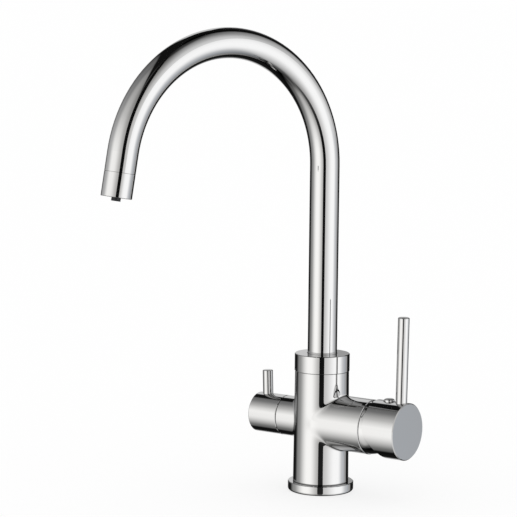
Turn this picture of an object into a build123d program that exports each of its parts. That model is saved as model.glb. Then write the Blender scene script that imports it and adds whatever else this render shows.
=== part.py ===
from build123d import *

import os
from math import atan2, cos, degrees, radians, sin, sqrt, tan

# Three way filtered kitchen tap: a swan-neck spout that turns on a round body, a mixer lever
# for hot and cold on the right arm and a quarter turn knob for filtered water on the left arm.
# Millimetres. The origin is the middle of the body's underside, on the worktop. +Z is up,
# +X is the mixer arm, -X the filter arm and -Y the front.

# ---- clearances -------------------------------------------------------------------------
running_gap = 0.07          # radial, a shaft that turns in its own bore
seat_gap = 0.05             # pieces that are screwed, pressed or laid together
free_gap = 0.3              # pieces that pass each other without touching

# ---- body casting -----------------------------------------------------------------------
trunk_foot_radius = 23.7
trunk_top_radius = 23.0
trunk_top = 103.4           # seam under the collar
arm_height = 60.5           # both arm axes above the worktop
junction_fillet = 2.5
seam_bevel = 0.3            # bright edges each side of a seam
foot_bevel = 0.6            # dark line where the trunk meets the base ring
arm_seam_bevel = 0.45       # bright edges where the arms end
arm_seam_gap = 0.55         # open dark line there
spigot_radius = 20.5        # turned foot inside the base ring
neck_wall = 10.1            # threaded neck that carries the collar

# ---- base ring --------------------------------------------------------------------------
base_ring_radius = 28.0
base_ring_height = 8.3
base_ring_round = 2.5       # lower outer edge
base_ring_bevel = 0.5       # upper outer edge
gasket_inset = 1.2          # rubber ring let into the underside
gasket_width = 3.0
gasket_height = 1.5

# ---- water inlets and fixing in the underside -------------------------------------------
inlet_circle_radius = 11.5
inlet_thread_radius = 4.6   # core of an M10 x 1 hose thread
inlet_thread_depth = 12.0
cold_angle = -60.0
hot_angle = 60.0
filtered_angle = 180.0
stud_offset = 15.0
stud_thread_radius = 3.4    # core of an M8 fixing stud
stud_thread_depth = 14.0
waterway_radius = 2.3

# ---- collar and spout swivel ------------------------------------------------------------
collar_overhang = 0.4       # collar's edge proud of the trunk
collar_height = 14.8
collar_roof = 3.85
collar_bevel = 0.5
collar_tube_gap = 0.4       # dark line where the tube goes in
slip_ring_radius = 16.0
slip_ring_thickness = 1.0
nipple_radius = 10.0
nipple_bore_radius = 7.0
nipple_length = 22.5        # below its flange
nipple_flange_inset = 0.4
nipple_flange_thickness = 2.7
nipple_socket_length = 13.75
chamber_depth = 3.0         # water space under the nipple
o_ring_section = 0.75       # radius of the rubber
o_ring_nip = 0.03           # how far the rubber stands out of its groove
o_ring_pitch = 5.0

# ---- spout ------------------------------------------------------------------------------
tube_radius = 12.5
tube_wall = 1.2
bend_start = 278.2          # height where the straight riser ends
bend_radius = 103.0
bend_angle = 170.0
tail_length = 16.0          # straight tube after the bend
spout_heading = -106.9      # degrees from +X, the spout's rest direction

# ---- outlet -----------------------------------------------------------------------------
sleeve_length = 19.9
sleeve_wall = 1.2
sleeve_lip_height = 1.2
sleeve_lip_width = 1.1
adapter_length = 15.0
adapter_overlap = 8.0       # length brazed inside the tube
adapter_bore_radius = 8.6
outlet_gasket_thickness = 1.3
aerator_wall = 1.0
aerator_grid_thickness = 2.5
aerator_grid_inset = 0.6
aerator_hole_radius = 0.55
aerator_hole_spacing = 3.6
aerator_row_radii = (6.1, 7.65, 9.2)
nozzle_radius = 3.75
nozzle_bore_radius = 2.0
nozzle_length = 16.7
nozzle_stand_out = 2.8
nozzle_socket_depth = 6.0
nozzle_sheath_wall = 1.1

# ---- filtered water tube inside the spout -----------------------------------------------
filtered_tube_radius = 3.0
filtered_tube_bore = 2.0
ferrule_wall = 1.53
ferrule_length = 11.0
ferrule_o_ring_section = 0.5
ferrule_o_ring_place = 3.0
gallery_rise = 13.0         # cross gallery above the arm axes
gallery_radius = 2.3
gallery_sump = 1.0          # bore's floor below the gallery
ferrule_lift = 3.5          # ferrule's end above the gallery
mixed_riser_offset = 8.2

# ---- mixer arm and cartridge ------------------------------------------------------------
mixer_arm_radius = 23.1
mixer_arm_end = 51.8
mixer_seat_depth = 31.5      # cartridge seat below the lever's pivot
cartridge_radius = 17.3
cartridge_base_thickness = 6.0
disc_thickness = 4.0
fixed_disc_radius = 14.4
moving_disc_radius = 10.9
disc_pocket_radius = 4.4    # joins the ports when the disc slides up
disc_pocket_depth = 2.2
inlet_port_spread = 4.3
inlet_port_rise = 3.9
mixed_port_drop = 1.5
port_radius = 2.0
port_seal_width = 1.1
port_seal_thickness = 1.2
carrier_thickness = 4.9
carrier_half_width = 8.5
shell_roof = 2.5
shell_neck_wall = 1.8
swivel_disc_thickness = 4.4
swivel_neck_radius = 10.93
swivel_neck_reach = 5.0     # beyond the lever's pivot
rail_thickness = 2.7
rail_half_length = 8.0
nut_thickness = 3.5
nut_wall = 6.45
nut_notch_width = 4.0
nut_notch_depth = 2.0
pivot_inset = 0.3           # lever pivot, inside the end of the arm
pivot_pin_radius = 1.95
pivot_pin_length = 19.0
lift_angle = 25.0           # full travel of the lever

# ---- mixer lever ------------------------------------------------------------------------
cap_radius = 24.0
cap_wall = 1.05
cap_face = 86.5             # flat end disc, from the body axis
cap_face_wall = 3.5
cap_face_bevel = 0.7
cap_rim = 56.4              # upper half of the rim
cap_rim_slant = 0.61        # lower half runs out by this much per millimetre down
cap_rim_blend = 14.0        # radius between the two
cap_dome_gap = 0.35
dome_open_angle = 48.0
dome_wall = 2.0
dome_skirt_wall = 1.6
dome_skirt_depth = 1.7
stem_width = 7.0
stem_neck_radius = 2.0
stem_shoulder = 6.0         # from pivot inwards to where the stem thins
ball_radius = 2.6
stem_reach = 27.5           # from pivot outwards
cap_boss_radius = 6.5
cap_boss_gap = 12.0         # from pivot to the boss
cap_screw_place = 68.0
screw_pad_radius = 4.2
screw_pad_height = 10.0
lever_screw_radius = 2.5
lever_screw_length = 5.9
lever_screw_hex = 1.44
lever_screw_socket = 2.5
plug_radius = 4.4
plug_height = 2.6
plug_round = 1.3
plug_rim_gap = 0.6
plug_stem_length = 3.5
mixer_pin_radius = 4.8
mixer_pin_place = 79.5      # where the pin's axis crosses the arm axis
mixer_pin_top = 95.5        # above the arm axis
mixer_pin_lean = 0.8
mixer_pin_bevel = 0.5
mixer_pin_screw_radius = 3.0
mixer_pin_screw_foot = 14.0
mixer_pin_pad_radius = 5.6

# ---- filter arm and headwork ------------------------------------------------------------
filter_arm_radius = 17.05
filter_arm_end = 36.0
headwork_length = 20.5      # from the arm's end down to the seat
headwork_thread_radius = 9.25
headwork_thread_length = 10.3
headwork_cage_radius = 8.6
headwork_cage_bore = 7.0
headwork_flange_across_flats = 24.0
headwork_flange_thickness = 4.0
headwork_neck_radius = 6.8
headwork_neck_length = 7.0
headwork_window_width = 8.0
headwork_window_length = 4.2
headwork_gasket_width = 1.6
headwork_gasket_thickness = 1.0
filter_chamber_radius = 10.5
filter_chamber_length = 8.0
filter_chamber_inset = 1.5
seat_seal_thickness = 1.6
seat_seal_reach = 1.0
filter_disc_thickness = 3.0
filter_disc_radius = 6.6
filter_port_radius = 1.7
filter_port_offset = 3.6
filter_slot_depth = 1.2
spindle_radius = 4.0
spindle_head_radius = 6.5
spindle_head_thickness = 2.4
spindle_tongue_width = 2.4
spindle_tongue_height = 1.0
circlip_width = 0.9
circlip_radius = 5.8
circlip_depth = 0.8
circlip_mouth = 3.0
filter_outlet_riser_place = 18.5

# ---- filter knob ------------------------------------------------------------------------
knob_end = 64.85
knob_wall = 1.85
knob_end_wall = 3.35
knob_end_round = 0.8
knob_boss_radius = 7.5
knob_boss_length = 14.85
knob_spindle_depth = 8.0
filter_pin_radius = 4.4
filter_pin_place = 55.2     # where the pin's axis crosses the arm axis
filter_pin_top = 37.2       # above the arm axis
filter_pin_lean = 2.0
filter_pin_bevel = 0.5
filter_pin_screw_radius = 2.5
filter_pin_screw_foot = 9.5
filter_pin_pad_radius = 5.2
knob_screw_place = 54.0
knob_screw_radius = 2.0
knob_screw_length = 6.0
knob_screw_pad_radius = 4.5
knob_screw_hex = 1.15
knob_screw_socket = 2.2

# ---- planes along the turning axes: local x runs along the axis, local y is up ------------
trunk_side = Plane(origin=(0, 0, 0), x_dir=(0, 0, 1), z_dir=(0, 1, 0))
mixer_side = Plane(origin=(0, 0, arm_height), x_dir=(1, 0, 0), z_dir=(0, -1, 0))
filter_side = Plane(origin=(0, 0, arm_height), x_dir=(-1, 0, 0), z_dir=(0, 1, 0))
heading = Vector(cos(radians(spout_heading)), sin(radians(spout_heading)), 0)
spout_side = Plane(origin=(0, 0, 0), x_dir=heading, z_dir=heading.cross(Vector(0, 0, 1)))
tail_direction = heading * sin(radians(bend_angle)) + Vector(0, 0, cos(radians(bend_angle)))
tube_end = (
    heading * (bend_radius * (1 - cos(radians(bend_angle))))
    + Vector(0, 0, bend_start + bend_radius * sin(radians(bend_angle)))
    + tail_direction * tail_length
)
outlet_side = Plane(origin=tube_end, x_dir=tail_direction, z_dir=spout_side.z_dir)


def leaning_side(place, lean):
    """Side plane of a pin that crosses the arm axis at a place and leans along it."""
    up = Vector(sin(radians(lean)), 0, cos(radians(lean)))
    return Plane(origin=(place, 0, arm_height), x_dir=up, z_dir=(0, 1, 0))


mixer_pin_side = leaning_side(mixer_pin_place, mixer_pin_lean)
filter_pin_side = leaning_side(-filter_pin_place, -filter_pin_lean)
lever_screw_side = leaning_side(cap_screw_place, 0)
knob_screw_side = Plane(origin=(-knob_screw_place, 0, arm_height), x_dir=(0, 0, -1), z_dir=(0, 1, 0))


def across(side, place):
    """Plane square to a turning axis, at a place along it."""
    return Plane(origin=side.origin + side.x_dir * place, x_dir=side.y_dir, z_dir=side.x_dir)


def rod(side, start, end, radius, bore=0, mode=Mode.ADD):
    """Round bar or ring along a turning axis."""
    with BuildSketch(across(side, start)) as section:
        Circle(radius)
        if bore:
            Circle(bore, mode=Mode.SUBTRACT)
    extrude(section.sketch, amount=end - start, mode=mode)


def drill(side, start, end, radius):
    """Round hole along a turning axis."""
    rod(side, start, end, radius, mode=Mode.SUBTRACT)


def offset_hole(side, start, end, radius, up, along):
    """Round hole beside a turning axis."""
    with BuildSketch(across(side, start)) as section:
        with Locations((up, along)):
            Circle(radius)
    extrude(section.sketch, amount=end - start, mode=Mode.SUBTRACT)


def turned(side, outline, mode=Mode.ADD):
    """Solid of revolution from an outline of (place along the axis, radius) points."""
    with BuildSketch(side) as profile:
        with BuildLine():
            Polyline(*outline, close=True)
        make_face()
    revolve(profile.sketch, axis=Axis(side.origin, side.x_dir), mode=mode)


def rubber_ring(side, place, ring_radius, section_radius):
    """O-ring round a turning axis."""
    with BuildSketch(side) as profile:
        with Locations((place, ring_radius)):
            Circle(section_radius)
    revolve(profile.sketch, axis=Axis(side.origin, side.x_dir))


def centreline(foot, tail):
    """Spout centreline from a height in the riser to a distance past the bend."""
    with BuildLine(spout_side) as line:
        riser = Line((0, foot), (0, bend_start))
        bend = JernArc(riser @ 1, riser % 1, bend_radius, -bend_angle)
        Line(bend @ 1, bend @ 1 + (bend % 1) * tail)
    return line.wire()


def seat_on_round(outer_radius, flat_radius):
    """Height of a flat that is just sunk into the crest of a cylinder."""
    return sqrt(outer_radius**2 - flat_radius**2) - seat_gap


os.makedirs("parts", exist_ok=True)

# =========================================================================================
# Body, base and waterways
# =========================================================================================

neck_bore = nipple_radius + running_gap
neck_radius = neck_bore + neck_wall
roof_underside = trunk_top + collar_height - collar_roof
upper_ring_start = roof_underside - seat_gap - slip_ring_thickness
flange_top = upper_ring_start - seat_gap
flange_foot = flange_top - nipple_flange_thickness
neck_top = flange_foot - seat_gap - slip_ring_thickness
nipple_foot = flange_foot - nipple_length
chamber_floor = nipple_foot - chamber_depth
gallery_height = arm_height + gallery_rise
ferrule_radius = filtered_tube_radius + ferrule_wall
centre_bore = ferrule_radius + running_gap
pivot_place = mixer_arm_end - pivot_inset
mixer_seat = pivot_place - mixer_seat_depth
cartridge_bore = cartridge_radius + seat_gap * 2
nut_radius = cartridge_radius + 2.15
nut_thread = nut_radius + seat_gap
shell_start = mixer_seat + cartridge_base_thickness
moving_disc_start = shell_start + disc_thickness + seat_gap
carrier_start = moving_disc_start + disc_thickness + seat_gap
carrier_end = carrier_start + carrier_thickness
swivel_start = carrier_end + free_gap
swivel_shoulder = swivel_start + swivel_disc_thickness
shell_roof_start = swivel_shoulder + free_gap
shell_shoulder = shell_roof_start + shell_roof
nut_end = shell_shoulder + nut_thickness
shell_bore = fixed_disc_radius + seat_gap * 2
swivel_bore = swivel_neck_radius + running_gap
valve_seat = filter_arm_end - headwork_length
chamber_start = valve_seat + filter_chamber_inset

with BuildPart() as tap_body:
    turned(
        trunk_side,
        [
            (0, 0),
            (0, spigot_radius),
            (base_ring_height, spigot_radius),
            (base_ring_height, trunk_foot_radius),
            (trunk_top, trunk_top_radius),
            (trunk_top, neck_radius),
            (neck_top, neck_radius),
            (neck_top, 0),
        ],
    )
    rod(mixer_side, 0, mixer_arm_end, mixer_arm_radius)
    rod(filter_side, 0, filter_arm_end, filter_arm_radius)
    plain_edges = (GeomType.CIRCLE, GeomType.LINE)
    fillet(tap_body.edges().filter_by(lambda edge: edge.geom_type not in plain_edges), junction_fillet)
    rims = tap_body.edges().filter_by(GeomType.CIRCLE)
    seam_edges = [
        rims.filter_by(lambda edge: abs(edge.center().X - mixer_arm_end) < seat_gap).sort_by(SortBy.RADIUS)[-1],
        rims.filter_by(lambda edge: abs(edge.center().X + filter_arm_end) < seat_gap).sort_by(SortBy.RADIUS)[-1],
        rims.filter_by(lambda edge: abs(edge.center().Z - trunk_top) < seat_gap).sort_by(SortBy.RADIUS)[-1],
    ]
    chamfer(seam_edges[:2], arm_seam_bevel)
    chamfer(seam_edges[2], seam_bevel)
    foot_edges = tap_body.edges().filter_by(GeomType.CIRCLE).filter_by(
        lambda edge: abs(edge.center().Z - base_ring_height) < seat_gap
    )
    chamfer(foot_edges.sort_by(SortBy.RADIUS)[-1], foot_bevel)
    # swivel seat, and the filtered water bore in its middle
    drill(trunk_side, chamber_floor, neck_top, neck_bore)
    drill(trunk_side, gallery_height - gallery_radius - gallery_sump, chamber_floor, centre_bore)
    # mixer cartridge chamber with its thread
    drill(mixer_side, mixer_seat, mixer_arm_end, cartridge_bore)
    drill(mixer_side, shell_roof_start, mixer_arm_end, nut_thread)
    # filter headwork chamber with its thread and water annulus
    drill(filter_side, valve_seat, filter_arm_end, headwork_thread_radius + seat_gap)
    drill(filter_side, chamber_start, chamber_start + filter_chamber_length, filter_chamber_radius)
    # hose threads and risers
    inlet_spots = {}
    for water, angle in (("cold", cold_angle), ("hot", hot_angle), ("filtered", filtered_angle)):
        inlet_x = inlet_circle_radius * cos(radians(angle))
        inlet_y = inlet_circle_radius * sin(radians(angle))
        inlet_spots[water] = (inlet_x, inlet_y)
        riser_top = arm_height if water == "filtered" else arm_height + inlet_port_rise
        with BuildSketch(Plane.XY):
            with Locations((inlet_x, inlet_y)):
                Circle(inlet_thread_radius)
        extrude(amount=inlet_thread_depth, mode=Mode.SUBTRACT)
        with BuildSketch(Plane.XY):
            with Locations((inlet_x, inlet_y)):
                Circle(waterway_radius)
        extrude(amount=riser_top, mode=Mode.SUBTRACT)
    with BuildSketch(Plane.XY):
        with Locations((stud_offset, 0)):
            Circle(stud_thread_radius)
    extrude(amount=stud_thread_depth, mode=Mode.SUBTRACT)
    # slanted hot and cold galleries from the cartridge seat, mixed water back and up
    for water, port_y in (("cold", -inlet_port_spread), ("hot", inlet_port_spread)):
        port = Vector(mixer_seat, port_y, arm_height + inlet_port_rise)
        riser_spot = Vector(inlet_spots[water][0], inlet_spots[water][1], arm_height + inlet_port_rise)
        with BuildSketch(Plane(origin=port, z_dir=riser_spot - port)):
            Circle(waterway_radius)
        extrude(amount=(riser_spot - port).length, mode=Mode.SUBTRACT)
    offset_hole(mixer_side, mixed_riser_offset, mixer_seat, waterway_radius, -mixed_port_drop, 0)
    offset_hole(trunk_side, arm_height - mixed_port_drop, chamber_floor, waterway_radius, mixed_riser_offset, 0)
    # filtered water to the headwork's seat, up from its annulus and across to the middle
    drill(filter_side, inlet_circle_radius, valve_seat, waterway_radius)
    offset_hole(
        trunk_side, arm_height + headwork_cage_radius, gallery_height, gallery_radius, -filter_outlet_riser_place, 0
    )
    offset_hole(filter_side, 0, filter_outlet_riser_place, gallery_radius, gallery_rise, 0)
tap_body.part.label = "tap_body"
export_step(tap_body.part, "parts/tap_body.step")

with BuildPart() as base_ring:
    rod(trunk_side, 0, base_ring_height, base_ring_radius, spigot_radius + seat_gap)
    outer_edges = base_ring.edges().filter_by(GeomType.CIRCLE).sort_by(SortBy.RADIUS)[-2:]
    fillet(outer_edges.sort_by(Axis.Z)[0], base_ring_round)
    chamfer(outer_edges.sort_by(Axis.Z)[-1], base_ring_bevel)
    gasket_inner_radius = spigot_radius + gasket_inset
    rod(trunk_side, 0, gasket_height, gasket_inner_radius + gasket_width, gasket_inner_radius, Mode.SUBTRACT)
base_ring.part.label = "base_ring"
export_step(base_ring.part, "parts/base_ring.step")

with BuildPart() as base_gasket:
    rod(
        trunk_side,
        0,
        gasket_height - seat_gap,
        gasket_inner_radius + gasket_width - seat_gap,
        gasket_inner_radius + seat_gap,
    )
base_gasket.part.label = "base_gasket"
export_step(base_gasket.part, "parts/base_gasket.step")

# =========================================================================================
# Collar and swivel
# =========================================================================================

with BuildPart() as spout_collar:
    rod(trunk_side, trunk_top, trunk_top + collar_height, trunk_top_radius + collar_overhang)
    chamfer(spout_collar.edges().group_by(Axis.Z)[-1], collar_bevel)
    chamfer(spout_collar.edges().group_by(Axis.Z)[0], seam_bevel)
    drill(trunk_side, trunk_top, roof_underside, neck_radius + seat_gap)
    drill(trunk_side, roof_underside, trunk_top + collar_height, tube_radius + collar_tube_gap)
spout_collar.part.label = "spout_collar"
export_step(spout_collar.part, "parts/spout_collar.step")

with BuildPart() as lower_slip_ring:
    rod(trunk_side, neck_top, neck_top + slip_ring_thickness, slip_ring_radius, nipple_radius + free_gap)
lower_slip_ring.part.label = "lower_slip_ring"
export_step(lower_slip_ring.part, "parts/lower_slip_ring.step")

with BuildPart() as upper_slip_ring:
    rod(
        trunk_side,
        upper_ring_start,
        upper_ring_start + slip_ring_thickness,
        slip_ring_radius,
        tube_radius + free_gap,
    )
upper_slip_ring.part.label = "upper_slip_ring"
export_step(upper_slip_ring.part, "parts/upper_slip_ring.step")

o_ring_radius = nipple_radius + o_ring_nip - o_ring_section
o_ring_groove = o_ring_radius - o_ring_section - o_ring_nip
o_ring_places = [nipple_foot + o_ring_pitch * count for count in (1, 2)]
tube_bore = tube_radius - tube_wall
nipple_socket_top = flange_top + nipple_socket_length

with BuildPart() as spout_nipple:
    rod(trunk_side, nipple_foot, flange_foot, nipple_radius)
    rod(trunk_side, flange_foot, flange_top, slip_ring_radius - nipple_flange_inset)
    rod(trunk_side, flange_top, nipple_socket_top, tube_bore - seat_gap)
    drill(trunk_side, nipple_foot, nipple_socket_top, nipple_bore_radius)
    for place in o_ring_places:
        groove_start = place - o_ring_section - seat_gap
        groove_end = place + o_ring_section + seat_gap
        rod(trunk_side, groove_start, groove_end, nipple_radius, o_ring_groove, Mode.SUBTRACT)
spout_nipple.part.label = "spout_nipple"
export_step(spout_nipple.part, "parts/spout_nipple.step")

with BuildPart() as spout_o_rings:
    for place in o_ring_places:
        rubber_ring(trunk_side, place, o_ring_radius, o_ring_section)
spout_o_rings.part.label = "spout_o_rings"
export_step(spout_o_rings.part, "parts/spout_o_rings.step")

# =========================================================================================
# Spout
# =========================================================================================

with BuildPart() as spout_tube:
    with BuildSketch(Plane.XY.offset(flange_top)):
        Circle(tube_radius)
        Circle(tube_bore, mode=Mode.SUBTRACT)
    sweep(path=centreline(flange_top, tail_length))
spout_tube.part.label = "spout_tube"
export_step(spout_tube.part, "parts/spout_tube.step")

adapter_start = -adapter_overlap
adapter_end = adapter_length - adapter_overlap
aerator_start = adapter_end + outlet_gasket_thickness
lip_start = sleeve_length - sleeve_lip_height
sleeve_bore = tube_radius - sleeve_wall
aerator_radius = sleeve_bore - seat_gap * 2
aerator_end = lip_start - seat_gap
nozzle_end = sleeve_length + nozzle_stand_out
nozzle_start = nozzle_end - nozzle_length

with BuildPart() as outlet_adapter:
    rod(outlet_side, adapter_start, adapter_end, tube_bore - seat_gap, adapter_bore_radius)
outlet_adapter.part.label = "outlet_adapter"
export_step(outlet_adapter.part, "parts/outlet_adapter.step")

with BuildPart() as outlet_sleeve:
    rod(outlet_side, 0, sleeve_length, tube_radius)
    end_rims = outlet_sleeve.edges().filter_by(GeomType.CIRCLE)
    chamfer(end_rims, seam_bevel)
    drill(outlet_side, 0, lip_start, sleeve_bore)
    drill(outlet_side, lip_start, sleeve_length, sleeve_bore - sleeve_lip_width)
outlet_sleeve.part.label = "outlet_sleeve"
export_step(outlet_sleeve.part, "parts/outlet_sleeve.step")

with BuildPart() as outlet_gasket:
    rod(outlet_side, adapter_end, aerator_start, aerator_radius, adapter_bore_radius)
outlet_gasket.part.label = "outlet_gasket"
export_step(outlet_gasket.part, "parts/outlet_gasket.step")

grid_end = aerator_end - aerator_grid_inset
grid_start = grid_end - aerator_grid_thickness
sheath_bore = nozzle_radius + seat_gap

with BuildPart() as aerator_insert:
    rod(outlet_side, aerator_start, aerator_end, aerator_radius, aerator_radius - aerator_wall)
    rod(outlet_side, grid_start, grid_end, aerator_radius)
    rod(outlet_side, aerator_start, aerator_end, sheath_bore + nozzle_sheath_wall)
    drill(outlet_side, aerator_start, aerator_end, sheath_bore)
    with BuildSketch(across(outlet_side, grid_start)):
        for row_radius in aerator_row_radii:
            row_count = round(2 * 3.1416 * row_radius / aerator_hole_spacing)
            with PolarLocations(row_radius, row_count):
                Circle(aerator_hole_radius)
    extrude(amount=aerator_grid_thickness, mode=Mode.SUBTRACT)
aerator_insert.part.label = "aerator_insert"
export_step(aerator_insert.part, "parts/aerator_insert.step")

with BuildPart() as filtered_nozzle:
    rod(outlet_side, nozzle_start, nozzle_end, nozzle_radius, nozzle_bore_radius)
    drill(outlet_side, nozzle_start, nozzle_start + nozzle_socket_depth, filtered_tube_radius + seat_gap)
filtered_nozzle.part.label = "filtered_nozzle"
export_step(filtered_nozzle.part, "parts/filtered_nozzle.step")

ferrule_foot = gallery_height + ferrule_lift
tube_seat = nozzle_start + nozzle_socket_depth - seat_gap
ferrule_o_ring = ferrule_foot + ferrule_o_ring_place
ferrule_ring_radius = ferrule_radius + o_ring_nip - ferrule_o_ring_section
ferrule_groove = ferrule_ring_radius - ferrule_o_ring_section - o_ring_nip

with BuildPart() as filtered_tube:
    with BuildSketch(Plane.XY.offset(ferrule_foot)):
        Circle(filtered_tube_radius)
        Circle(filtered_tube_bore, mode=Mode.SUBTRACT)
    sweep(path=centreline(ferrule_foot, tail_length + tube_seat))
filtered_tube.part.label = "filtered_tube"
export_step(filtered_tube.part, "parts/filtered_tube.step")

with BuildPart() as filtered_ferrule:
    rod(trunk_side, ferrule_foot, ferrule_foot + ferrule_length, ferrule_radius, filtered_tube_radius + seat_gap)
    rod(
        trunk_side,
        ferrule_o_ring - ferrule_o_ring_section - seat_gap,
        ferrule_o_ring + ferrule_o_ring_section + seat_gap,
        ferrule_radius,
        ferrule_groove,
        Mode.SUBTRACT,
    )
filtered_ferrule.part.label = "filtered_ferrule"
export_step(filtered_ferrule.part, "parts/filtered_ferrule.step")

with BuildPart() as filtered_o_ring:
    rubber_ring(trunk_side, ferrule_o_ring, ferrule_ring_radius, ferrule_o_ring_section)
filtered_o_ring.part.label = "filtered_o_ring"
export_step(filtered_o_ring.part, "parts/filtered_o_ring.step")

# =========================================================================================
# Mixer cartridge
# =========================================================================================

port_spots = (
    (inlet_port_rise, inlet_port_spread),
    (inlet_port_rise, -inlet_port_spread),
    (-mixed_port_drop, 0),
)
port_seal_radius = port_radius + port_seal_width

with BuildPart() as mixer_cartridge_base:
    rod(mixer_side, mixer_seat, shell_start, cartridge_radius)
    with BuildSketch(across(mixer_side, mixer_seat)):
        with Locations(*port_spots):
            Circle(port_radius)
    extrude(amount=cartridge_base_thickness, mode=Mode.SUBTRACT)
    with BuildSketch(across(mixer_side, mixer_seat)):
        with Locations(*port_spots):
            Circle(port_seal_radius + seat_gap)
    extrude(amount=port_seal_thickness + seat_gap, mode=Mode.SUBTRACT)
mixer_cartridge_base.part.label = "mixer_cartridge_base"
export_step(mixer_cartridge_base.part, "parts/mixer_cartridge_base.step")

with BuildPart() as mixer_port_seals:
    with BuildSketch(across(mixer_side, mixer_seat)):
        with Locations(*port_spots):
            Circle(port_seal_radius)
            Circle(port_radius, mode=Mode.SUBTRACT)
    extrude(amount=port_seal_thickness)
mixer_port_seals.part.label = "mixer_port_seals"
export_step(mixer_port_seals.part, "parts/mixer_port_seals.step")

with BuildPart() as mixer_fixed_disc:
    rod(mixer_side, shell_start, shell_start + disc_thickness, fixed_disc_radius)
    with BuildSketch(across(mixer_side, shell_start)):
        with Locations(*port_spots):
            Circle(port_radius)
    extrude(amount=disc_thickness, mode=Mode.SUBTRACT)
mixer_fixed_disc.part.label = "mixer_fixed_disc"
export_step(mixer_fixed_disc.part, "parts/mixer_fixed_disc.step")

with BuildPart() as mixer_cartridge_shell:
    rod(mixer_side, shell_start, shell_shoulder, cartridge_radius)
    rod(mixer_side, shell_shoulder, nut_end, swivel_bore + shell_neck_wall)
    drill(mixer_side, shell_start, shell_roof_start, shell_bore)
    drill(mixer_side, shell_roof_start, nut_end, swivel_bore)
mixer_cartridge_shell.part.label = "mixer_cartridge_shell"
export_step(mixer_cartridge_shell.part, "parts/mixer_cartridge_shell.step")

with BuildPart() as mixer_cartridge_nut:
    rod(mixer_side, shell_shoulder, nut_end, nut_radius, nut_radius - nut_wall)
    with BuildSketch(across(mixer_side, nut_end)):
        with PolarLocations(nut_radius - nut_wall, 4):
            Rectangle(nut_wall, nut_notch_width)
    extrude(amount=-nut_notch_depth, mode=Mode.SUBTRACT)
mixer_cartridge_nut.part.label = "mixer_cartridge_nut"
export_step(mixer_cartridge_nut.part, "parts/mixer_cartridge_nut.step")

dome_radius = cap_radius - cap_wall - cap_dome_gap
dome_inner_radius = dome_radius - dome_wall
dome_bore = nut_radius - dome_skirt_wall
dome_foot = pivot_inset + arm_seam_gap
dome_foot_angle = degrees(atan2(sqrt(dome_radius**2 - dome_foot**2), dome_foot))


def dome_point(radius, angle):
    """Point of a sphere about the lever's pivot, as (place along the arm, distance from it)."""
    return (pivot_place + radius * cos(radians(angle)), radius * sin(radians(angle)))


inner_foot_angle = degrees(atan2(dome_bore, sqrt(dome_inner_radius**2 - dome_bore**2)))
with BuildPart() as mixer_trim_dome:
    with BuildSketch(mixer_side) as dome_profile:
        with BuildLine():
            ThreePointArc(
                dome_point(dome_radius, dome_foot_angle),
                dome_point(dome_radius, (dome_foot_angle + dome_open_angle) / 2),
                dome_point(dome_radius, dome_open_angle),
            )
            Line(dome_point(dome_radius, dome_open_angle), dome_point(dome_inner_radius, dome_open_angle))
            ThreePointArc(
                dome_point(dome_inner_radius, dome_open_angle),
                dome_point(dome_inner_radius, (inner_foot_angle + dome_open_angle) / 2),
                dome_point(dome_inner_radius, inner_foot_angle),
            )
            Polyline(
                dome_point(dome_inner_radius, inner_foot_angle),
                (mixer_arm_end - dome_skirt_depth, dome_bore),
                (mixer_arm_end - dome_skirt_depth, nut_radius),
                (mixer_arm_end + arm_seam_gap, nut_radius),
                dome_point(dome_radius, dome_foot_angle),
            )
        make_face()
    revolve(axis=Axis(mixer_side.origin, mixer_side.x_dir))
mixer_trim_dome.part.label = "mixer_trim_dome"
export_step(mixer_trim_dome.part, "parts/mixer_trim_dome.step")

lift = radians(lift_angle)
ball_place = carrier_start + seat_gap + ball_radius
ball_arm = pivot_place - ball_place
disc_travel = ball_arm * sin(lift)
disc_rest = -disc_travel / 2

with BuildPart() as mixer_moving_disc:
    with BuildSketch(across(mixer_side, moving_disc_start)):
        with Locations((disc_rest, 0)):
            Circle(moving_disc_radius)
    extrude(amount=disc_thickness)
    with BuildSketch(across(mixer_side, moving_disc_start)):
        with Locations((disc_rest, 0)):
            Circle(disc_pocket_radius)
    extrude(amount=disc_pocket_depth, mode=Mode.SUBTRACT)
mixer_moving_disc.part.label = "mixer_moving_disc"
export_step(mixer_moving_disc.part, "parts/mixer_moving_disc.step")

with BuildPart() as mixer_disc_carrier:
    with BuildSketch(across(mixer_side, carrier_start)):
        with Locations((disc_rest, 0)):
            Circle(moving_disc_radius)
            Rectangle(2 * moving_disc_radius, 2 * carrier_half_width, mode=Mode.INTERSECT)
        Circle(ball_radius + free_gap, mode=Mode.SUBTRACT)
    extrude(amount=carrier_thickness)
mixer_disc_carrier.part.label = "mixer_disc_carrier"
export_step(mixer_disc_carrier.part, "parts/mixer_disc_carrier.step")

stem_half = stem_width / 2
neck_end = pivot_place + swivel_neck_reach
slot_half = stem_half / cos(lift) + free_gap
rail_start = carrier_start + free_gap

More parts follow.
